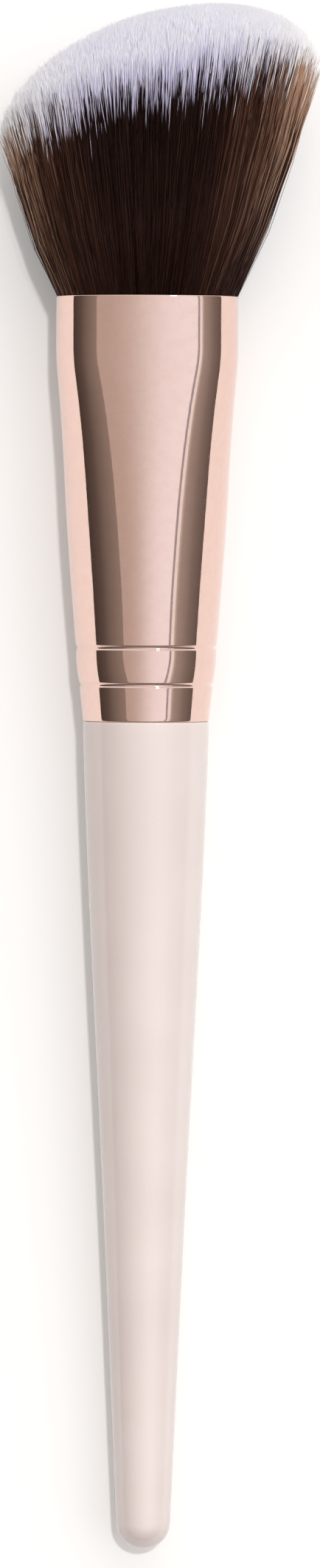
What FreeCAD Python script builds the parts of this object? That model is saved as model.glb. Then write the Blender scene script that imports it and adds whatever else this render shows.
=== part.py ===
# A contour brush, lying on its flat side as it rests on a table.
#
# An angled tuft of synthetic filaments fans out of a thin rose-gold ferrule, which is rolled with
# two crimps onto the tenon of a turned and lacquered wooden handle. The filament roots end in a
# plug of cast resin inside the ferrule.
#
# The pieces are first made about the brush's own long axis: along +Y from the ferrule's lower end
# towards the tuft, across along X, and through the brush's thickness along Z. They are then tilted
# together until the tuft and the ferrule's belly both touch Z = 0, with the handle's tail in the air.
import FreeCAD, Part
import math
import os

# Handle: the visible part below the ferrule, in millimetres
joint_radius = 7.0
handle_length = 92.3
neck_length = 8.0
neck_drop = 0.22
waist_share = 0.53
waist_radius = 4.83
tail_radius = 3.0
shoulder_rounding = 0.18

# Tenon: the part of the handle inside the ferrule, which ends below the resin plug
tenon_chamfer = 1.0
tenon_gap = 0.06
room_above_tenon = 5.2

# Ferrule: a cone that eases into a tube, which is pressed oval towards the mouth
ferrule_length = 47.2
ferrule_wall = 0.35
tube_radius = 8.78
flare_length = 25.5
flare_power = 1.6
press_start = 10.0
straight_mouth = 7.2
press_power = 2.2
bend_rounding = 0.12
mouth_half_width = 10.12
mouth_half_thickness = 7.25
corner_angle = 19.0

# Crimps: two rolled grooves with a slightly barrelled band between them
lower_crimp = 4.08
upper_crimp = 8.22
crimp_half_width = 0.24
crimp_depth = 0.15
barrel_bulge = 0.09

# Resin plug behind the filament roots
root_depth = 15.0
plug_thickness = 7.0

# Tuft: filaments from the root inside the ferrule to the slanted dome of their tips
root_gap = 0.05
edge_height = 19.2
slant = 3.03
dome_height = 12.3
dome_power = 0.52
dome_skew = 0.205
face_drop = 5.5
face_power = 0.7
splay = 0.48
splay_range = 96.8
splay_skew = 0.176
swell = 0.29
swell_range = 41.4

# Locks: the shallow bundles that the filaments gather in towards their tips
lock_count = 28
lock_depth = 0.5
lock_start = 0.1
lock_end = 0.6
cap_reach = 0.05

# Loft sections: shares of the pressed length and of the straight mouth, close together round the
# bend between them, shares of the tuft's side, and rings in over its dome
PRESSED_SHARES = (0.0, 0.06, 0.14, 0.28, 0.42, 0.56, 0.69, 0.8, 0.88, 0.94)
MOUTH_SHARES = (0.0, 0.2, 0.45, 0.7, 1.0)
SIDE_SHARES = (0.15, 0.4, 0.7, 1.0)
DOME_SHARES = (0.99, 0.95, 0.88, 0.76, 0.6, 0.4, 0.18)

press_end = ferrule_length - straight_mouth
root_end = ferrule_length - root_depth
tenon_length = root_end - plug_thickness - room_above_tenon


def at(across, along, up=0.0):
    return FreeCAD.Vector(across, along, up)


def line(start, end):
    return Part.LineSegment(start, end).toShape()


def arc(start, middle, end):
    return Part.Arc(start, middle, end).toShape()


def turned(edges):
    """A solid of revolution about the long axis, from a closed outline in the X-Y plane."""
    face = Part.Face(Part.Wire(Part.__sortEdges__(edges)))
    return face.revolve(at(0, 0), at(0, 1), 360)


# The ferrule's shape, at a height above its lower end


def tube_at(height):
    """Radius of the round tube before it is pressed."""
    left = max(0.0, 1.0 - height / flare_length)
    return tube_radius - (tube_radius - joint_radius) * left**flare_power


def pressed_share(height):
    """How far the tube is pressed: none at the band, more and more steeply above it, and then
    fully, by way of a rounded bend, from the end of the press to the mouth."""
    pressed = max(0.0, (height - press_start) / (press_end - press_start)) ** press_power
    below_bend = min(1.0, max(0.0, 0.5 + (1 - pressed) / (2 * bend_rounding)))
    above_bend = 1 - below_bend
    return pressed * below_bend + above_bend - bend_rounding * below_bend * above_bend


def section_heights():
    """Heights of the sections, from the band to the mouth."""
    pressed = [press_start + (press_end - press_start) * share for share in PRESSED_SHARES]
    return pressed + [press_end + straight_mouth * share for share in MOUTH_SHARES]


def half_width_at(height):
    share = pressed_share(height)
    return (1 - share) * tube_at(height) + share * mouth_half_width


def half_thickness_at(height):
    share = pressed_share(height)
    return (1 - share) * tube_at(height) + share * mouth_half_thickness


def arc_radii(height, inset):
    """Radii of the front arc and the side arc of the four-arc oval at a height."""
    width, thickness = half_width_at(height), half_thickness_at(height)
    s = math.sin(math.radians(corner_angle))
    c = math.cos(math.radians(corner_angle))
    spread = s * c - (1 - s) * (1 - c)
    front = (width * c - thickness * (1 - s)) / spread
    side = (thickness * s - width * (1 - c)) / spread
    return front - inset, side - inset


def oval_wire(height, inset):
    """Four tangent arcs at a height, inset from the ferrule's outside."""
    front, side = arc_radii(height, inset)
    x = front * math.sin(math.radians(corner_angle))
    z = side * math.cos(math.radians(corner_angle))
    width = half_width_at(height) - inset
    thickness = half_thickness_at(height) - inset
    edges = [
        arc(at(-x, height, z), at(0, height, thickness), at(x, height, z)),
        arc(at(x, height, z), at(width, height, 0), at(x, height, -z)),
        arc(at(x, height, -z), at(0, height, -thickness), at(-x, height, -z)),
        arc(at(-x, height, -z), at(-width, height, 0), at(-x, height, z)),
    ]
    return Part.Wire(edges)


def pressed_tube(inset):
    """The solid within the pressed part of the ferrule, inset from its outside."""
    return Part.makeLoft([oval_wire(height, inset) for height in section_heights()], True, False)


def crimped_band(inset):
    """Edges up the round band with its two crimps, inset from the ferrule's outside."""

    def on(height, change=0.0):
        return at(tube_at(height) + change - inset, height)

    below_lower, above_lower = lower_crimp - crimp_half_width, lower_crimp + crimp_half_width
    below_upper, above_upper = upper_crimp - crimp_half_width, upper_crimp + crimp_half_width
    middle = (above_lower + below_upper) / 2
    return [
        line(on(0), on(below_lower)),
        arc(on(below_lower), on(lower_crimp, -crimp_depth), on(above_lower)),
        arc(on(above_lower), on(middle, barrel_bulge), on(below_upper)),
        arc(on(below_upper), on(upper_crimp, -crimp_depth), on(above_upper)),
        line(on(above_upper), on(press_start)),
    ]


# The tuft's shape, over the oval of its root


def oval_point(height, share):
    """A point of the filament bundle at a height in the ferrule and a share of the way round."""
    front, side = arc_radii(height, ferrule_wall + root_gap)
    corner = math.radians(corner_angle)
    quarter = side * (math.pi / 2 - corner) + front * corner
    turn = (share % 1.0) * 4
    way = (turn - int(turn)) * quarter
    if int(turn) % 2:
        way = quarter - way
    if way < side * (math.pi / 2 - corner):
        x = (front - side) * math.sin(corner) + side * math.cos(way / side)
        z = side * math.sin(way / side)
    else:
        x = front * math.sin((quarter - way) / front)
        z = front * math.cos((quarter - way) / front) - (front - side) * math.cos(corner)
    return (x if int(turn) in (0, 3) else -x), (z if int(turn) in (0, 1) else -z)


def tip_height(u, v):
    """Height of the filament tips above the mouth, at a place in the unit circle."""
    inside = max(0.0, 1.0 - u * u)
    middle = edge_height + slant * u + dome_height * inside**dome_power * (1 + dome_skew * u)
    face = min(1.0, v * v / inside) if inside > 0 else 1.0
    return middle - face_drop * inside * (1 - (1 - face) ** face_power)


def tuft_point(share, reach, rise):
    """A point of the tuft, by its share of the way round, its reach out from the middle and its
    rise from the mouth to the tip."""
    width = mouth_half_width - ferrule_wall - root_gap
    thickness = mouth_half_thickness - ferrule_wall - root_gap
    x, z = oval_point(ferrule_length, share)
    angle = math.atan2(z / thickness, x / width)
    height = rise * tip_height(reach * math.cos(angle), reach * math.sin(angle))
    slowing = (1 - splay_skew * math.cos(angle)) * height / splay_range
    spread_x = 1 + splay * height * (1 - slowing) / width
    spread_z = 1 + swell * height * (1 - height / swell_range) / thickness
    return at(reach * x * spread_x, ferrule_length + height, reach * z * spread_z)


def sunk(point, depth):
    """A point of the tuft's skin, moved in by a depth towards the middle line of its oval."""
    flatness = mouth_half_thickness / mouth_half_width
    inward = at(-point.x * flatness, 0, -point.z)
    return point + inward * (depth / inward.Length)


def lock_ring(point_at, depth):
    """A closed row of lines over the locks, from crest to groove to crest. Takes the function that
    gives the skin's point at a share of the way round."""
    turns = [i / (2 * lock_count) for i in range(2 * lock_count)]
    corners = [point_at(turn) for turn in turns]
    corners[1::2] = [sunk(point, depth) for point in corners[1::2]]
    return Part.makePolygon([*corners, corners[0]])


def tuft_ring(reach, rise):
    gathered = max(0.0, rise - lock_start) / (1 - lock_start)
    spread = max(0.0, reach - lock_end) / (1 - lock_end)
    return lock_ring(lambda share: tuft_point(share, reach, rise), lock_depth * gathered * spread)


def cap_ring():
    """The small flat ring that closes the dome, sloped as the tips are there."""
    left = tuft_point(0.5, cap_reach, 1.0)
    right = tuft_point(0.0, cap_reach, 1.0)
    slope = (right.y - left.y) / (right.x - left.x)

    def on_cap(share):
        point = tuft_point(share, cap_reach, 1.0)
        return at(point.x, left.y + slope * (point.x - left.x), point.z)

    return lock_ring(on_cap, 0.0)


def root_ring(height):
    def on_oval(share):
        x, z = oval_point(height, share)
        return at(x, height, z)

    return lock_ring(on_oval, 0.0)


# The pieces


def make_handle():
    """Turned wood: a rounded tail, a long taper, a square shoulder and the crimped tenon."""
    waist_along = -handle_length * waist_share
    tail_centre = -handle_length + tail_radius
    slope = math.atan2(waist_radius - tail_radius, waist_along - tail_centre)
    half = (math.pi / 2 + slope) / 2
    tail_start = at(tail_radius * math.cos(slope), tail_centre - tail_radius * math.sin(slope))
    tail_middle = at(tail_radius * math.cos(half), tail_centre - tail_radius * math.sin(half))
    shoulder = at(joint_radius, -shoulder_rounding)
    eased = shoulder_rounding * (1 - math.sqrt(0.5))
    taper = Part.BSplineCurve()
    taper.interpolate(
        Points=[
            shoulder,
            at(joint_radius - neck_drop, -neck_length),
            at(waist_radius, waist_along),
            tail_start,
        ],
        InitialTangent=at(-0.015, -1),
        FinalTangent=at(-math.sin(slope), -math.cos(slope)),
    )
    inset = ferrule_wall + tenon_gap
    tenon = tube_at(press_start) - inset
    edges = [
        arc(at(0, -handle_length), tail_middle, tail_start),
        taper.toShape(),
        arc(shoulder, at(joint_radius - eased, -eased), at(joint_radius - shoulder_rounding, 0)),
        line(at(joint_radius - shoulder_rounding, 0), at(joint_radius - inset, 0)),
        *crimped_band(inset),
        line(at(tenon, press_start), at(tenon, tenon_length - tenon_chamfer)),
        line(at(tenon, tenon_length - tenon_chamfer), at(tenon - tenon_chamfer, tenon_length)),
        line(at(tenon - tenon_chamfer, tenon_length), at(0, tenon_length)),
        line(at(0, tenon_length), at(0, -handle_length)),
    ]
    return turned(edges)


def make_ferrule():
    """Thin aluminium: a round band with the crimps, and above it the tube pressed oval."""
    top = tube_at(press_start)
    band = turned(
        [
            *crimped_band(0.0),
            *crimped_band(ferrule_wall),
            line(at(joint_radius - ferrule_wall, 0), at(joint_radius, 0)),
            line(at(top - ferrule_wall, press_start), at(top, press_start)),
        ]
    )
    return pressed_tube(0.0).cut(pressed_tube(ferrule_wall)).fuse(band)


def make_root_plug():
    """Cast resin that fills the ferrule behind the filament roots."""
    side = 4 * mouth_half_width
    corner = at(-side / 2, root_end - plug_thickness, -side / 2)
    slab = Part.makeBox(side, plug_thickness, side, corner)
    return pressed_tube(ferrule_wall).common(slab)


def make_tuft():
    """Filaments in one bundle: the root in the ferrule, the fanned side, and the slanted dome."""
    lowest = root_ring(root_end)
    mouth = tuft_ring(1.0, 0.0)
    rim = tuft_ring(1.0, 1.0)
    cap = cap_ring()
    in_ferrule = [root_ring(h) for h in section_heights()[:-1] if h > root_end + root_gap]
    up_side = [tuft_ring(1.0, share) for share in SIDE_SHARES[:-1]]
    over_dome = [tuft_ring(share, 1.0) for share in DOME_SHARES]
    root = Part.makeLoft([lowest, *in_ferrule, mouth], False, False)
    side = Part.makeLoft([mouth, *up_side, rim], False, False)
    dome = Part.makeLoft([rim, *over_dome, cap], False, False)
    faces = [Part.Face(lowest), *root.Faces, *side.Faces, *dome.Faces, Part.Face(cap)]
    return Part.Solid(Part.Shell(faces))


def rest_tilt():
    """The angle, in degrees, of the line that touches both the ferrule and the tuft from below."""
    heights = [ferrule_length * i / 200 for i in range(150)]
    shares = [0.5 + i / 100 for i in range(50)]
    under_ferrule = [(height, half_thickness_at(height)) for height in heights]
    under_tuft = [tuft_point(share, 1.0, i / 50) for i in range(10, 51) for share in shares]
    slopes = [
        min((radius + point.z) / (point.y - height) for point in under_tuft)
        for height, radius in under_ferrule
    ]
    return math.degrees(math.atan(max(slopes)))


def laid_down(pieces):
    """The pieces tilted together onto their two contacts, with the brush over the origin."""
    tilt = rest_tilt()
    for shape in pieces.values():
        shape.rotate(at(0, 0), at(1, 0), -tilt)
    box = Part.makeCompound(list(pieces.values())).optimalBoundingBox()
    for shape in pieces.values():
        shape.translate(at(-box.Center.x, -box.Center.y, -box.ZMin))
    return pieces


brush = laid_down(
    {
        "handle": make_handle(),
        "ferrule": make_ferrule(),
        "root_plug": make_root_plug(),
        "bristle_tuft": make_tuft(),
    }
)

os.makedirs("parts", exist_ok=True)
for name, shape in brush.items():
    shape.exportStep("parts/" + name + ".step")
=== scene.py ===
import math

import bpy
import numpy as np
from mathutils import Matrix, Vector


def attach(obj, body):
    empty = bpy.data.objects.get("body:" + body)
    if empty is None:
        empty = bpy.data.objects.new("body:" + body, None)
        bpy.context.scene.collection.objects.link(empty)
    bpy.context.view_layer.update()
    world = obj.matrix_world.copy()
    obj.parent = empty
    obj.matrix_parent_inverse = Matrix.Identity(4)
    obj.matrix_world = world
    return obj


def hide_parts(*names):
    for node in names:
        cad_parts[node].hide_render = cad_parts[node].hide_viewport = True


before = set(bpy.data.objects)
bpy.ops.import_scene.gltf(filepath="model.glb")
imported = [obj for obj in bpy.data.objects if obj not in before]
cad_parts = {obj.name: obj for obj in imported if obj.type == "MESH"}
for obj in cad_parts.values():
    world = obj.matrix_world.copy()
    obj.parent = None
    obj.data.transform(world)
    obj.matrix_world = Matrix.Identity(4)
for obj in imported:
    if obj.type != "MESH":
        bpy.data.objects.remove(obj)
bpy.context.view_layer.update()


# The handle
#
# A turned wooden stick with a rounded tail and a square shoulder, sprayed with thick satin lacquer
# in a pale pearl pink. Its tenon is glued into the ferrule, which is rolled onto it with two crimps.

handle_length = 92.3
joint_radius = 7.0
shoulder_rounding = 0.18
tail_radius = 3.0
waist = (4.83, -handle_length * 0.53)
neck = (6.78, -8.0)
neck_slope = 0.015
tenon_inset = 0.41
tenon_foot = 0.2
tenon_radius = 7.79
tenon_swell_end = 9.5
tenon_length = 20.0
tenon_chamfer = 1.0
axis_slope = math.radians(1.6311)
joint_centre = np.array([-1.3011, 6.2531, 7.9440])
handle_columns = 160


def laid_down(points):
    """Points about the brush's own axis, in millimetres, as it lies on the table, in metres: turned
    about X by the slope of the axis, then moved to the centre of the joint."""
    x, y, z = points[..., 0], points[..., 1], points[..., 2]
    along = y * math.cos(axis_slope) - z * math.sin(axis_slope)
    up = y * math.sin(axis_slope) + z * math.cos(axis_slope)
    return (np.stack([x, along, up], axis=-1) + joint_centre) / 1000


def mesh_piece(name, points, face_groups, places=None):
    """A smooth mesh from points in metres and from groups of faces, one row of corners a face.
    Places are the corners' places in the piece's own map, if it has one."""
    mesh = bpy.data.meshes.new(name)
    corners = np.concatenate([group.ravel() for group in face_groups]).astype(np.int32)
    sides = np.concatenate([np.full(len(group), group.shape[1]) for group in face_groups])
    starts = np.concatenate([[0], np.cumsum(sides)[:-1]]).astype(np.int32)
    mesh.vertices.add(len(points))
    mesh.vertices.foreach_set("co", points.astype(np.float32).ravel())
    mesh.loops.add(len(corners))
    mesh.loops.foreach_set("vertex_index", corners)
    mesh.polygons.add(len(sides))
    mesh.polygons.foreach_set("loop_start", starts)
    mesh.polygons.foreach_set("use_smooth", np.ones(len(sides), bool))
    if places is not None:
        own_map = mesh.uv_layers.new(name="OFBake")
        own_map.data.foreach_set("uv", places.astype(np.float32).ravel())
    mesh.update(calc_edges=True)
    mesh.validate()
    piece = bpy.data.objects.new(name, mesh)
    bpy.context.scene.collection.objects.link(piece)
    return piece


def skin_faces(rows, columns, looped):
    """Faces between neighbouring rows of a grid whose columns close on themselves. A looped grid
    joins its last row to its first, and otherwise a pole at each end closes it with a fan."""
    row, column = np.meshgrid(np.arange(rows - (not looped)), np.arange(columns), indexing="ij")
    here, above = row * columns, (row + 1) % rows * columns
    beside = (column + 1) % columns
    between = np.stack([here + column, above + column, above + beside, here + beside], axis=-1)
    groups = [between.reshape(-1, 4)]
    if not looped:
        first, last = rows * columns, rows * columns + 1
        ring = np.arange(columns)
        following = (ring + 1) % columns
        top = (rows - 1) * columns
        groups.append(np.stack([np.full(columns, first), ring, following], axis=-1))
        groups.append(np.stack([np.full(columns, last), top + following, top + ring], axis=-1))
    return groups


def skin(name, rows, poles=None):
    """A closed surface through rows of points about the brush's axis, with its poles if it has."""
    count, columns = rows.shape[:2]
    points = rows.reshape(-1, 3)
    if poles is not None:
        points = np.concatenate([points, poles])
    return mesh_piece(name, laid_down(points), skin_faces(count, columns, poles is None))


def eased_line(knots, first_slope, last_slope, samples):
    """Points of the smooth cubic through the knots, with the slopes given at its two ends. Its
    slopes at the other knots are those that leave no jump in curvature."""
    steps = np.linalg.norm(np.diff(knots, axis=0), axis=1)
    places = np.concatenate([[0.0], np.cumsum(steps)])
    count = len(knots)
    left, right = np.eye(count), np.zeros((count, 2))
    right[0], right[-1] = first_slope, last_slope
    for i in range(1, count - 1):
        before, after = steps[i - 1], steps[i]
        left[i, i - 1:i + 2] = after, 2 * (before + after), before
        rise_before = (knots[i] - knots[i - 1]) / before
        rise_after = (knots[i + 1] - knots[i]) / after
        right[i] = 3 * (rise_before * after + rise_after * before)
    slopes = np.linalg.solve(left, right)
    at = np.linspace(0, places[-1], samples)
    span = np.clip(np.searchsorted(places, at, side="right") - 1, 0, count - 2)
    length = steps[span][:, None]
    t = ((at - places[span])[:, None]) / length
    return (
        (2 * t**3 - 3 * t**2 + 1) * knots[span]
        + (t**3 - 2 * t**2 + t) * length * slopes[span]
        + (3 * t**2 - 2 * t**3) * knots[span + 1]
        + (t**3 - t**2) * length * slopes[span + 1]
    )


def around(profile, columns):
    """A profile of radius and height turned about the axis: x = r cos a, z = r sin a."""
    angle = np.arange(columns) * 2 * math.pi / columns
    radius, height = profile[:, :1], profile[:, 1:]
    return np.stack(
        [radius * np.cos(angle), height + 0 * angle, radius * np.sin(angle)], axis=-1
    )


def arc_points(centre, radius, first, last, samples):
    """Points of a circular arc in the plane of radius and height, between two angles in degrees."""
    angle = np.radians(np.linspace(first, last, samples))
    return np.stack(
        [centre[0] + radius * np.cos(angle), centre[1] + radius * np.sin(angle)], axis=-1
    )


tail_centre = tail_radius - handle_length
tail_slope = math.atan2(waist[0] - tail_radius, waist[1] - tail_centre)
tail_end = (
    tail_radius * math.cos(tail_slope),
    tail_centre - tail_radius * math.sin(tail_slope),
)
tail = arc_points((0, tail_centre), tail_radius, -88, -math.degrees(tail_slope), samples=26)
taper = eased_line(
    np.array([tail_end, waist, neck, (joint_radius, -shoulder_rounding)]),
    (math.sin(tail_slope), math.cos(tail_slope)),
    (neck_slope, 1.0),
    samples=90,
)
shoulder = arc_points(
    (joint_radius - shoulder_rounding, -shoulder_rounding), shoulder_rounding, 0, 90, samples=8
)
tenon = np.array(
    [
        (joint_radius - tenon_inset, 0.0),
        (joint_radius - tenon_inset, tenon_foot),
        (tenon_radius, tenon_swell_end),
        (tenon_radius, tenon_length - tenon_chamfer),
        (tenon_radius - tenon_chamfer, tenon_length),
    ]
)
handle_profile = np.concatenate([tail, taper[1:], shoulder[1:], tenon])
handle = skin(
    "lacquered_handle",
    around(handle_profile, handle_columns),
    np.array([(0, -handle_length, 0), (0, tenon_length, 0)]),
)


class Flow:
    """What comes out of a shader node. Sums and products of flows add Math nodes."""

    def __init__(self, tree, socket=None):
        self.tree = tree
        self.socket = socket

    def node(self, kind, settings, values, output=0):
        """A node of any type: first its settings, with a ramp's stops, then its values or links."""
        made = self.tree.nodes.new(kind)
        for name, value in settings.items():
            if name == "stops":
                while len(made.color_ramp.elements) < len(value):
                    made.color_ramp.elements.new(1.0)
                for element, (place, colour) in zip(made.color_ramp.elements, value):
                    element.position = place
                    element.color = (*colour, 1.0)
            else:
                setattr(made, name, value)
        for name, value in values.items():
            if isinstance(value, Flow):
                self.tree.links.new(value.socket, made.inputs[name])
            else:
                made.inputs[name].default_value = value
        return Flow(self.tree, made.outputs[output])

    def maths(self, operation, first, second):
        """One Math node on two numbers or flows."""
        return self.node("ShaderNodeMath", {"operation": operation}, {0: first, 1: second})

    def __add__(self, other):
        return self.maths("ADD", self, other)

    def __radd__(self, other):
        return self.maths("ADD", other, self)

    def __sub__(self, other):
        return self.maths("SUBTRACT", self, other)

    def __rsub__(self, other):
        return self.maths("SUBTRACT", other, self)

    def __mul__(self, other):
        return self.maths("MULTIPLY", self, other)

    def __rmul__(self, other):
        return self.maths("MULTIPLY", other, self)

    def between(self, low, high):
        """0 below low, 1 above high, and a smooth step between them."""
        settings = {"interpolation_type": "SMOOTHSTEP"}
        return self.node(
            "ShaderNodeMapRange", settings, {"Value": self, "From Min": low, "From Max": high}
        )

    def blend(self, first, second):
        """A colour that goes from the first to the second as this flow goes from 0 to 1."""
        return self.node(
            "ShaderNodeMix", {"data_type": "RGBA"}, {0: self, 6: first, 7: second}, output=2
        )

    def grain(self, scale, detail, roughness=0.5, squeeze=(1.0, 1.0, 1.0)):
        """Noise on these coordinates, at so many to a metre, stretched where squeeze is small."""
        spread = self.node("ShaderNodeVectorMath", {"operation": "MULTIPLY"}, {0: self, 1: squeeze})
        return self.node(
            "ShaderNodeTexNoise",
            {},
            {"Vector": spread, "Scale": scale, "Detail": detail, "Roughness": roughness},
        )

    def relief(self, depth):
        """A bump of so many metres from a height between 0 and 1."""
        return self.node("ShaderNodeBump", {}, {"Height": self, "Distance": depth})


def finish_of(name):
    """A new material with its surface node, and the flow of coordinates on the piece."""
    material = bpy.data.materials.new(name)
    material.use_nodes = True
    place = Flow(material.node_tree).node("ShaderNodeTexCoord", {}, {}, output="Object")
    return material, material.node_tree.nodes["Principled BSDF"], place


def feed(surface, values):
    """Sets the surface node's sockets to values, or links flows to them."""
    for name, value in values.items():
        if isinstance(value, Flow):
            value.tree.links.new(value.socket, surface.inputs[name])
        else:
            surface.inputs[name].default_value = value


def colour(red, green, blue):
    """A colour as light, from its shades on a scale of 255."""
    shades = np.array([red, green, blue]) / 255
    light = np.where(shades <= 0.04045, shades / 12.92, ((shades + 0.055) / 1.055) ** 2.4)
    return (*light.tolist(), 1.0)


def wear(piece, material, slot_name, *nodes):
    """Puts a material on a piece, which rides on the brush and stands for the nodes."""
    piece.data.materials.append(material)
    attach(piece, "root")
    if nodes:
        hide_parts(*nodes)


cloudy_pink = colour(227, 213, 208)
pearl_pink = colour(231, 218, 213)
fleck_pink = colour(240, 228, 223)

lacquer, surface, place = finish_of("pearl_pink_lacquer")
cloudiness = place.grain(90.0, 3.0)
flecks = place.grain(5200.0, 2.0).between(0.62, 0.75)
orange_peel = place.grain(1400.0, 3.0, 0.45)
feed(
    surface,
    {
        "Base Color": (flecks * 0.35).blend(
            cloudiness.between(0.3, 0.7).blend(cloudy_pink, pearl_pink),
            fleck_pink,
        ),
        "Roughness": 0.38 + cloudiness * 0.12,
        "Coat Weight": 1.0,
        "Coat Roughness": 0.14,
        "Normal": orange_peel.relief(0.000012),
    },
)
wear(handle, lacquer, "lacquered_wood", "handle")


# The ferrule
#
# A thin aluminium tube with a polished rose-gold finish. A cone swells out of the crimped band into
# a round tube, and a press flattens that to an oval mouth, past a soft bend on each side.

ferrule_length = 47.2
ferrule_wall = 0.35
tube_radius = 8.78
flare_length = 25.5
flare_power = 1.6
press_start = 10.0
straight_mouth = 7.2
press_end = ferrule_length - straight_mouth
press_power = 2.2
bend_rounding = 0.12
mouth_half_width = 10.12
mouth_half_thickness = 7.25
corner = math.radians(19.0)
lower_crimp = 4.08
upper_crimp = 8.22
crimp_half_width = 0.24
crimp_depth = 0.15
barrel_bulge = 0.09
groove_softening = 0.05
lip_rounding = 0.15
foot_rounding = 0.12
ferrule_columns = 240


def tube_at(height):
    """Radius of the round tube: the full radius, less the flare's share of what is left."""
    left = np.maximum(0.0, 1.0 - height / flare_length)
    return tube_radius - (tube_radius - joint_radius) * left**flare_power


def pressed_share(height):
    """Share of the press: a power of the height up to the bend, and 1 beyond it, with the two
    joined by a rounded step."""
    pressed = np.maximum(0.0, (height - press_start) / (press_end - press_start)) ** press_power
    below = np.clip(0.5 + (1 - pressed) / (2 * bend_rounding), 0.0, 1.0)
    return pressed * below + (1 - below) - bend_rounding * below * (1 - below)


def oval_point(height, share, inset):
    """Points of the four-arc oval at a height, a share of the way round by length of arc. The
    front and side arcs meet at the corner angle, and the inset shortens both radii."""
    pressed = pressed_share(height)
    width = (1 - pressed) * tube_at(height) + pressed * mouth_half_width
    thickness = (1 - pressed) * tube_at(height) + pressed * mouth_half_thickness
    s, c = math.sin(corner), math.cos(corner)
    spread = s * c - (1 - s) * (1 - c)
    front = (width * c - thickness * (1 - s)) / spread - inset
    side = (thickness * s - width * (1 - c)) / spread - inset
    quarter = side * (math.pi / 2 - corner) + front * corner
    turn = (share % 1.0) * 4
    way = turn % 1.0 * quarter
    way = np.where(np.floor(turn) % 2 == 1, quarter - way, way)
    on_side = way < side * (math.pi / 2 - corner)
    left = (quarter - way) / front
    x = np.where(on_side, (front - side) * s + side * np.cos(way / side), front * np.sin(left))
    z = np.where(on_side, side * np.sin(way / side), front * np.cos(left) - (front - side) * c)
    x = np.where((turn < 1) | (turn >= 3), x, -x)
    z = np.where(turn < 2, z, -z)
    return x, z


def rolled_change(height):
    """How far the crimping rollers move the wall out: a round groove at each crimp, and a slight
    barrel between the two. It is averaged over a short way, which rounds the grooves' lips."""
    radius = (crimp_half_width**2 + crimp_depth**2) / (2 * crimp_depth)
    half_way = (upper_crimp - lower_crimp) / 2 - crimp_half_width
    total = 0
    offsets = np.linspace(-groove_softening, groove_softening, 7)
    for offset in offsets:
        at = height + offset
        change = 0
        for crimp in (lower_crimp, upper_crimp):
            away = np.minimum(np.abs(at - crimp), crimp_half_width)
            change = change - np.sqrt(radius**2 - away**2) + radius - crimp_depth
        from_middle = (at - (upper_crimp + lower_crimp) / 2) / half_way
        total = total + change + barrel_bulge * np.maximum(0.0, 1 - from_middle**2)
    return total / len(offsets)


# Rings lie closest together in the crimps and in the bend
band = np.concatenate(
    [
        np.linspace(0.15, 3.4, 12),
        np.linspace(3.6, 4.6, 34),
        np.linspace(4.8, 7.5, 16),
        np.linspace(7.7, 8.7, 34),
        np.linspace(8.9, 12.0, 16),
    ]
)
tube = np.concatenate([np.linspace(12.6, 35.0, 36), np.linspace(35.4, 41.6, 26)])
mouth = np.linspace(42.1, ferrule_length - lip_rounding, 10)
outside = np.concatenate([band, tube, mouth])
inside = np.concatenate([band[::4], tube[::2], mouth[::2]])[::-1]
lip = np.radians(np.linspace(0, 180, 13))[1:-1]
half_wall = ferrule_wall / 2
lip_height = ferrule_length - lip_rounding + lip_rounding * np.sin(lip)
lip_inset = half_wall - half_wall * np.cos(lip)
foot_height = foot_rounding - foot_rounding * np.sin(lip)
foot_inset = half_wall + half_wall * np.cos(lip)
ferrule_heights = np.concatenate([outside, lip_height, inside, foot_height])
ferrule_insets = np.concatenate(
    [0 * outside, lip_inset, 0 * inside + ferrule_wall, foot_inset]
) - np.concatenate([rolled_change(outside), 0 * lip, rolled_change(inside), 0 * lip])
shares = np.arange(ferrule_columns) / ferrule_columns
ferrule_x, ferrule_z = oval_point(ferrule_heights[:, None], shares, ferrule_insets[:, None])
ferrule = skin(
    "rose_gold_ferrule",
    np.stack([ferrule_x, ferrule_heights[:, None] + 0 * ferrule_x, ferrule_z], axis=-1),
)

bright_gold = (0.82, 0.605, 0.535, 1.0)
dull_gold = (0.80, 0.58, 0.51, 1.0)

rose_gold, surface, place = finish_of("polished_rose_gold")
drawn_lines = place.grain(6000.0, 2.0, 0.6, (1.0, 0.03, 1.0))
dull_spots = place.grain(900.0, 3.0, 0.6)
specks = place.grain(7000.0, 1.0).between(0.7, 0.78)
dents = place.grain(110.0, 1.0)
feed(
    surface,
    {
        "Base Color": dull_spots.between(0.35, 0.7).blend(bright_gold, dull_gold),
        "Metallic": 1.0,
        "Roughness": 0.035 + dull_spots.between(0.5, 0.8) * 0.05,
        "Normal": (drawn_lines * 0.04 + specks * 0.08 + dents).relief(0.000014),
    },
)
wear(ferrule, rose_gold, "rose_gold_metal", "ferrule")


# The root plug
#
# Epoxy resin, cast into the ferrule over the ends of the filaments. It holds them all, and isn't
# seen once the handle is in.

dark_amber = (0.42, 0.26, 0.1, 1.0)
light_amber = (0.6, 0.42, 0.2, 1.0)

resin, surface, place = finish_of("amber_resin")
bubbles = place.grain(1500.0, 2.0)
feed(
    surface,
    {
        "Base Color": place.grain(300.0, 3.0).blend(dark_amber, light_amber),
        "Roughness": 0.3 + bubbles * 0.2,
        "Normal": bubbles.between(0.55, 0.7).relief(0.00005),
    },
)
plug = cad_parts["root_plug"]
plug.data.materials.clear()
plug.data.materials.append(resin)


# The filaments
#
# Several thousand tapered synthetic filaments, dark brown with bleached tips, set in a fan by the
# ferrule's mouth and trimmed to a slanted dome. The middle of the bundle is one dark core, and the
# filaments that show are each a thin pointed prism.

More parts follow.
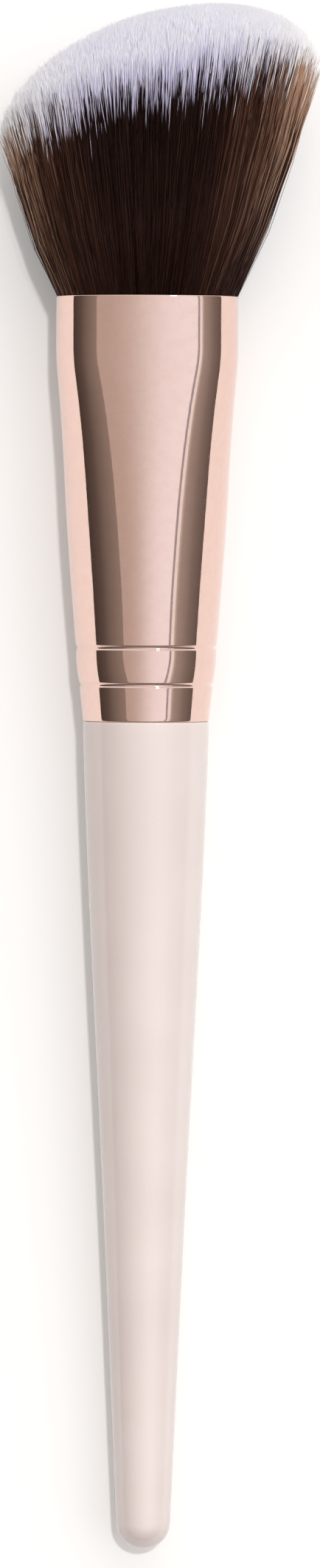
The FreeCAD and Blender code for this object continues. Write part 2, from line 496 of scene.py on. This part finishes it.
root_length = 15.0
root_end = ferrule_length - root_length
root_inset = ferrule_wall + 0.05
edge_height = 19.2
slant = 3.03
dome_height = 12.3
dome_power = 0.52
dome_skew = 0.205
face_drop = 5.5
face_power = 0.7
splay = 0.48
splay_range = 96.8
splay_skew = 0.176
swell = 0.29
swell_range = 41.4
lock_count = 28
lock_depth = 0.5
lock_start = 0.1
lock_end = 0.6
core_reach = 0.93
core_depth = 1.5
core_root_gap = 0.4
core_columns = 144
stray_share = 0.05
lean_spread = 0.010
stray_lean_spread = 0.018
bend_spread = 0.045
stray_bend_spread = 0.09
bend_length = 9.0
bow_spread = 0.32
wave_depth = 0.35
wave_height = 30.0
point_length = 2.5
table_gap = 0.00002
bleached_length = 3.3
bleached_spread = 1.3
bleached_least = 0.8
bleached_end = 0.6
tones = 128
chance = np.random.default_rng(1954)


def tip_height(u, v):
    """Height of the trimmed tips: the slanted edge, and on it a dome that falls away towards the
    two flat faces of the brush."""
    room = np.maximum(1e-9, 1.0 - u * u)
    middle = edge_height + slant * u + dome_height * room**dome_power * (1 + dome_skew * u)
    face = np.minimum(1.0, v * v / room)
    return middle - face_drop * room * (1 - (1 - face) ** face_power)


def bearing(share):
    """The direction from the axis, as an angle on the unit circle, of a share of the way round."""
    x, z = oval_point(np.array(ferrule_length), share, root_inset)
    return np.arctan2(z / (mouth_half_thickness - root_inset), x / (mouth_half_width - root_inset))


def tips_at(share, reach):
    """Height of the tips above the mouth, at a share of the way round and a reach from the axis."""
    turned = bearing(share)
    return tip_height(reach * np.cos(turned), reach * np.sin(turned))


def hollow(share, reach, height):
    """Depth of the hollows between the locks, which deepen up the side and fade over the dome."""
    gathered = np.clip((height / tips_at(share, 1.0) - lock_start) / (1 - lock_start), 0, 1)
    spread = np.maximum(0.0, reach - lock_end) / (1 - lock_end)
    return lock_depth * gathered * spread * (1 - abs(2 * (share * lock_count % 1) - 1))


def in_fan(share, reach, height):
    """Places in the fan at a height above the mouth: the mouth's oval times the reach, widened by
    the splay across and the swell through the thickness, both of which slow down with height, and
    sunk in the hollows between the locks."""
    x, z = oval_point(np.array(ferrule_length), share, root_inset)
    turned = bearing(share)
    up = np.maximum(height, 0.0)
    wider = splay * up * (1 - (1 - splay_skew * np.cos(turned)) * up / splay_range)
    thicker = swell * up * (1 - up / swell_range)
    x = reach * x * (1 + wider / (mouth_half_width - root_inset))
    z = reach * z * (1 + thicker / (mouth_half_thickness - root_inset))
    inward_x = x * mouth_half_thickness / mouth_half_width
    sunk = hollow(share, reach, height) / np.maximum(np.hypot(inward_x, z), 0.1)
    return np.stack([x - inward_x * sunk, ferrule_length + height, z - z * sunk], axis=-1)


def core_rows():
    """Rows of the core: straight through the mouth, up the side of the fan, and over the dome."""
    share = np.arange(core_columns) / core_columns
    root = np.linspace(root_end - ferrule_length, 0.0, 8)[:-1, None]
    rise = np.linspace(0.0, 1.0, 20)[:-1, None]
    reach = core_reach * np.cos(np.linspace(0.0, math.pi / 2, 30)[:-1, None])
    edge = tips_at(share, core_reach) - core_depth
    side = in_fan(share, core_reach, rise * edge)
    dome = in_fan(share, reach, tips_at(share, reach) - core_depth)
    x, z = oval_point(ferrule_length + root, share, root_inset + core_root_gap)
    low = np.stack([x * core_reach, ferrule_length + root + 0 * x, z * core_reach], axis=-1)
    return np.concatenate([low, side, dome])


def strand_lines(share, reach, length, stops, unevenness):
    """Middle lines of filaments, at the stops as shares of their length down from the tip, and how
    far down each point lies. Each has its own height, lean, bend and bow, and a few are strays. The
    tips fall short of the dome by a random depth whose mean is the unevenness."""
    count = len(share)
    top = tips_at(share, reach) + 0.1 - chance.exponential(unevenness, count)
    stray = chance.random(count) < stray_share
    lean_each = np.where(stray, stray_lean_spread, lean_spread)[:, None]
    lean = chance.normal(0.0, 1.0, (count, 2)) * lean_each
    bend_each = np.where(stray, stray_bend_spread, bend_spread)[:, None]
    bend = chance.normal(0.0, 1.0, (count, 1)) * bend_each
    bow = chance.normal(0.0, bow_spread, (count, 1))
    wave = wave_depth * np.sin(share * 2 * math.pi * 17 + 3 * np.sin(share * 2 * math.pi * 5))
    wave_across = (wave * np.cos(bearing(share) + math.pi / 2))[:, None]
    from_tip = np.minimum(length, top + 1.0)[:, None] * stops
    height = top[:, None] - from_tip
    up = np.maximum(height, 0.0)
    bent = np.maximum(0.0, bend_length - from_tip) ** 2 / (2 * bend_length)
    bowed = np.sin(math.pi * np.minimum(1.0, up / (0.75 * top[:, None])))
    middle = in_fan(share[:, None], reach[:, None], height)
    middle[..., 0] += lean[:, :1] * up + wave_across * (up / wave_height) ** 2
    middle[..., 0] += bend * bent + bow * bowed
    middle[..., 2] += lean[:, 1:] * up
    return middle, from_tip


def strand_points(middle, from_tip, width):
    """Points of three-sided prisms around the middle lines: for each filament its rings of three
    from the root up, then its tip. They narrow to half the width over the last stretch."""
    count = len(middle)
    run = middle[:, 0] - middle[:, -1]
    run /= np.linalg.norm(run, axis=1, keepdims=True)
    across = np.cross(run, chance.normal(0.0, 1.0, (count, 3)))
    across /= np.linalg.norm(across, axis=1, keepdims=True)
    beside = np.cross(run, across)
    angle = np.arange(3) * 2 * math.pi / 3
    radius = width / 2 * (0.5 + 0.5 * np.minimum(1.0, from_tip / point_length))
    spoke = across[:, None] * np.cos(angle)[:, None] + beside[:, None] * np.sin(angle)[:, None]
    rings = middle[:, ::-1][:, :-1, None] + radius[:, ::-1][:, :-1, None, None] * spoke[:, None]
    points = laid_down(
        np.concatenate([rings.reshape(count, -1, 3), middle[:, :1]], axis=1).reshape(-1, 3)
    )
    points[:, 2] = np.maximum(points[:, 2], table_gap)
    return points


def bleached_shade(u, from_tip):
    """Place in the fibre's colours from tip to root: the bleached end covers its share of them, and
    the brown below goes on slowly. It is longest right of the middle, and short at both sides."""
    bleached = bleached_length + 1.3 * np.exp(-(((u - 0.25) / 0.3) ** 2))
    bleached -= 25 * np.maximum(0.0, u - 0.65) ** 2
    bleached -= 14 * np.maximum(0.0, -u - 0.6) ** 2
    bleached += chance.normal(0.0, bleached_spread, len(u))
    bleached = np.maximum(bleached_least, bleached)
    bleached += np.where(chance.random(len(u)) < 0.14, chance.random(len(u)) * 3.5, 0.0)
    down = from_tip / bleached[:, None]
    shade = np.clip(down, 0, 1.6) / 1.6 * bleached_end + np.maximum(0.0, down - 1.6) * 0.03
    return 0.01 + 0.98 * np.minimum(shade, 1.0)


def strand_tone_and_painted_light(u):
    """Tone of each filament, from dark to light, in steps: its own at random, plus painted light
    that makes them lighter to the two sides of the brush, for the light that comes through them
    there, and lightest in a narrow painted rim."""
    # painted light: right and left lighten the filaments towards each side and most in a thin rim at
    # the very edge; only the random part below is their own colour
    right = 1.1 * np.clip((u - 0.3) / 0.65, 0, 1) ** 1.3 + 1.2 * np.clip((u - 0.82) / 0.1, 0, 1)
    left = 0.9 * np.clip((-u - 0.3) / 0.6, 0, 1) ** 1.2 + 0.3 * np.clip((-u - 0.86) / 0.1, 0, 1)
    light = 0.38 * chance.random(len(u)) ** 1.6
    light += (right + left) * chance.uniform(0.3, 1.0, len(u))
    return np.floor(np.clip(light, 0, 0.999) * tones) / tones


def strand_faces(tone_with_painted_light, shade):
    """Faces of the prisms, and their corners' places in the fibre's map: across it the filament's
    own narrow column, set by its random darkness and its painted side light, and the shade up it.
    Rings are joined by quads, the last one to the tip."""
    count, stop_count = shade.shape
    points_each = 3 * (stop_count - 1) + 1
    base = (np.arange(count) * points_each)[:, None]
    column = tone_with_painted_light[:, None] + (0.1 + 0.8 * np.arange(4) / 3) / tones
    shade = shade[:, ::-1]
    groups, places = [], []
    for ring in range(stop_count - 2):
        for k in range(3):
            corners = [3 * ring + k, 3 * ring + (k + 1) % 3]
            corners += [corners[1] + 3, corners[0] + 3]
            groups.append(base + np.array(corners))
            across_map = column[:, [k, k + 1, k + 1, k]]
            up_map = shade[:, [ring, ring, ring + 1, ring + 1]]
            places.append(np.stack([across_map, up_map], axis=-1))
    last = 3 * (stop_count - 2)
    for k in range(3):
        groups.append(base + np.array([last + k, last + (k + 1) % 3, last + 3]))
        side = column[:, [k, k + 1]]
        across_map = np.concatenate([side, side.mean(axis=1, keepdims=True)], axis=1)
        places.append(np.stack([across_map, shade[:, [-2, -2, -1]]], axis=-1))
    groups.append(base + np.array([2, 1, 0]))
    root_map = shade[:, [0, 0, 0]] - [0, 0.004, 0]
    places.append(np.stack([column[:, [2, 1, 0]], root_map], axis=-1))
    return groups, np.concatenate([place.reshape(-1, 2) for place in places])


def filaments(name, share, reach, length, stops, width, unevenness):
    """A mesh of filaments whose roots lie at these shares of the way round and reaches."""
    u = reach * np.cos(bearing(share))
    middle, from_tip = strand_lines(share, reach, length, stops, unevenness)
    points = strand_points(middle, from_tip, width)
    shade = bleached_shade(u, from_tip)
    return mesh_piece(name, points, *strand_faces(strand_tone_and_painted_light(u), shade))


core_top = tips_at(0.0, 0.0) - core_depth
core = skin(
    "filament_core",
    core_rows(),
    np.array([(0, root_end, 0), (0, ferrule_length + core_top, 0)]),
)
bunches = []
long_count = 5800
for i in range(2):
    bunches.append(
        filaments(
            f"long_filaments_{i + 1}",
            chance.random(long_count),
            np.sqrt(chance.uniform(0.905**2, 0.985**2, long_count)),
            length=60.0,
            stops=np.array([0.0, 0.035, 0.13, 0.38, 0.68, 1.0]),
            width=0.072,
            unevenness=0.3,
        )
    )
tip_count = 16000
for i in range(3):
    bunches.append(
        filaments(
            f"tip_filaments_{i + 1}",
            chance.random(tip_count),
            0.95 * np.sqrt(chance.random(tip_count)),
            length=6.5,
            stops=np.array([0.0, 0.12, 1.0]),
            width=0.105,
            unevenness=0.18,
        )
    )

# painted light: a flat brown for the filaments low down by the mouth, lighter than the dark middle
# ones
painted_root_brown = (0.045, 0.021, 0.017, 1.0)
# painted light: a clear white for the bleached tips that are lit at the sides
painted_lit_white = (0.99, 0.98, 0.98, 1.0)

fibre, surface, place = finish_of("bleached_brown_fibre_painted_light")
own_map = place.node("ShaderNodeUVMap", {"uv_map": "OFBake"}, {})
tone_with_painted_light = own_map.node("ShaderNodeSeparateXYZ", {}, {0: own_map})
down = Flow(tone_with_painted_light.tree, tone_with_painted_light.socket.node.outputs[1])
# painted light: the ramp goes from the filaments' own dark browns at low values to light warm browns
# at high ones, which only the painted side light and rim reach
brown_with_painted_light = tone_with_painted_light.node(
    "ShaderNodeValToRGB",
    {
        "stops": [
            (0.0, (0.010, 0.0036, 0.0030)),
            (0.3, (0.026, 0.0100, 0.0072)),
            (0.6, (0.130, 0.053, 0.031)),
            (1.0, (0.60, 0.37, 0.25)),
        ]
    },
    {"Fac": tone_with_painted_light},
)
# partly the fibre's own fade from white to brown, partly painted shade: towards the brown the white
# tips go a lavender grey
tip_white_painted_light_and_shade = down.node(
    "ShaderNodeValToRGB",
    {"stops": [(0.0, (0.95, 0.94, 0.99)), (0.2, (0.87, 0.85, 0.97)), (0.37, (0.66, 0.62, 0.85))]},
    {"Fac": down},
)
# painted light: the bleached tips of the lighter filaments, mostly those at the sides, turn a clear
# white as if lit there
tip_white_painted_light_and_shade = tone_with_painted_light.between(0.15, 0.75).blend(tip_white_painted_light_and_shade, painted_lit_white)
# painted light: low down towards the mouth the filaments take one flat brown in place of their
# tones, lighter than the dark middle ones, which lifts the shade that falls there
brown_with_painted_light = down.between(0.66, 0.82).blend(brown_with_painted_light, painted_root_brown)
feed(
    surface,
    {
        "Base Color": down.between(0.35, 0.42).blend(tip_white_painted_light_and_shade, brown_with_painted_light),
        "Roughness": 0.42 + (1 - down.between(0.3, 0.45)) * 0.15,
        "Specular IOR Level": 0.1,
    },
)
for bunch in bunches:
    wear(bunch, fibre, "filaments", "bristle_tuft")

core_white = (0.9, 0.9, 0.96, 1.0)
core_dark = (0.006, 0.004, 0.003, 1.0)
core_brown = (0.03, 0.018, 0.014, 1.0)

packed, surface, place = finish_of("packed_fibre")
across = place.node("ShaderNodeSeparateXYZ", {}, {0: place})
along = Flow(across.tree, across.socket.node.outputs[1])
whitened = (along - across * 0.17).between(0.0755, 0.0775)
streaks = place.grain(4000.0, 2.0, 0.6, (1.0, 0.04, 1.0))
feed(
    surface,
    {
        "Base Color": whitened.blend(streaks.blend(core_dark, core_brown), core_white),
        "Roughness": 0.7,
        "Specular IOR Level": 0.1,
        "Normal": streaks.relief(0.00006),
    },
)
wear(core, packed, "filaments", "bristle_tuft")


# The table, the light and the camera
#
# A white table in a dim room with a bright patch overhead and a bright strip to the right, which
# the metal mirrors. A small high lamp casts the shadow, and two wide ones fill in from the right
# and from beyond the tips. The camera looks straight down on the brush.

table_half = 1.6
lit_white = (0.68, 0.66, 0.64, 1.0)
seen_white = (0.88, 0.85, 0.82, 1.0)
no_glow = (0.0, 0.0, 0.0, 1.0)
seen_glow = (0.1, 0.12, 0.13, 1.0)
window_white = (0.95, 0.95, 0.97, 1.0)
backdrop_white = (1.0, 1.0, 1.0, 1.0)

floor = mesh_piece(
    "table",
    np.array([(-1, -1, 0), (1, -1, 0), (1, 1, 0), (-1, 1, 0)]) * table_half,
    [np.array([[0, 1, 2, 3]])],
)
white, surface, place = finish_of("white_table")
rays = place.node("ShaderNodeLightPath", {}, {})
camera_ray, glossy_ray, through_ray = (
    Flow(rays.tree, rays.socket.node.outputs[name])
    for name in ("Is Camera Ray", "Is Glossy Ray", "Is Transmission Ray")
)
shown = rays.maths("MAXIMUM", camera_ray, rays.maths("MAXIMUM", glossy_ray, through_ray))
feed(
    surface,
    {
        "Base Color": shown.blend(lit_white, seen_white),
        "Roughness": 1.0,
        "Specular IOR Level": 0.0,
        "Emission Color": shown.blend(no_glow, seen_glow),
        "Emission Strength": 1.0,
    },
)
floor.data.materials.append(white)

room = bpy.data.worlds.new("studio")
bpy.context.scene.world = room
room.use_nodes = True
direction = Flow(room.node_tree).node("ShaderNodeTexCoord", {}, {}, output="Generated")
sideways = direction.node("ShaderNodeSeparateXYZ", {}, {0: direction})
upward = Flow(sideways.tree, sideways.socket.node.outputs[2])
dim_side = upward.node(
    "ShaderNodeValToRGB",
    {
        "stops": [
            (0.0, (0.07, 0.055, 0.048)),
            (0.3, (0.12, 0.098, 0.085)),
            (0.75, (0.31, 0.265, 0.235)),
        ]
    },
    {"Fac": upward},
)
bright_side = upward.node(
    "ShaderNodeValToRGB",
    {
        "stops": [
            (0.0, (0.15, 0.128, 0.115)),
            (0.3, (0.24, 0.205, 0.185)),
            (0.62, (0.42, 0.37, 0.34)),
            (0.67, (0.60, 0.55, 0.52)),
            (0.69, (1.0, 1.0, 1.0)),
            (0.735, (1.0, 1.0, 1.0)),
            (0.745, (0.42, 0.40, 0.44)),
            (0.77, (0.42, 0.40, 0.44)),
        ]
    },
    {"Fac": upward},
)
overhead = sideways.node(
    "ShaderNodeValToRGB",
    {
        "stops": [
            (0.0, (0.57, 0.50, 0.45)),
            (0.25, (0.71, 0.65, 0.62)),
            (0.5, (0.86, 0.84, 0.84)),
            (0.75, (1.0, 1.0, 1.05)),
            (1.0, (1.07, 1.10, 1.15)),
        ]
    },
    {"Fac": sideways.between(-0.6, 0.6)},
)
ahead = Flow(sideways.tree, sideways.socket.node.outputs[1])
glow = sideways.between(-0.25, 0.25).blend(dim_side, bright_side)
glow = ahead.between(-0.6, -0.4).blend(dim_side, glow)
glow = upward.between(0.77, 0.785).blend(glow, overhead)
glow = ahead.between(0.35, 0.75).blend(glow, window_white)
camera_ray = direction.node("ShaderNodeLightPath", {}, {}, output="Is Camera Ray")
background = room.node_tree.nodes["Background"]
feed(background, {"Color": camera_ray.blend(glow, backdrop_white), "Strength": 1.0})


def lamp(name, strength, spread, across, along):
    """A distant lamp that shines down from so far across and along for each metre up."""
    data = bpy.data.lights.new(name, "SUN")
    data.energy = strength
    data.angle = math.radians(spread)
    made = bpy.data.objects.new(name, data)
    made.rotation_mode = "QUATERNION"
    made.rotation_quaternion = Vector((across, along, 1.0)).to_track_quat("Z", "Y")
    bpy.context.scene.collection.objects.link(made)
    return made


key = lamp("key_lamp", 1.05, 2.5, 0.11, 0.2)
key.visible_glossy = False
fill = lamp("fill_lamp", 0.4, 60.0, 1.3, 0.1)
fill.visible_glossy = False
front = lamp("front_lamp", 0.85, 50.0, 0.5, 2.2)
front.visible_glossy = False
glint = lamp("glint_lamp", 0.5, 5.0, 0.37, 0.45)
glint.visible_diffuse = False

camera_height = 0.9
view_height = 0.1743
aim = (0.00028, -0.00072, 0.0085)
camera_turn = math.radians(0.2)
camera_data = bpy.data.cameras.new("camera")
camera_data.lens = camera_data.sensor_width * camera_height / view_height
camera = bpy.data.objects.new("camera", camera_data)
camera.location = (aim[0], aim[1], aim[2] + camera_height)
camera.rotation_euler = (0.0, 0.0, camera_turn)
bpy.context.scene.collection.objects.link(camera)
bpy.context.scene.camera = camera
bpy.context.scene.view_settings.view_transform = "Standard"
bpy.context.scene.cycles.diffuse_bounces = 12
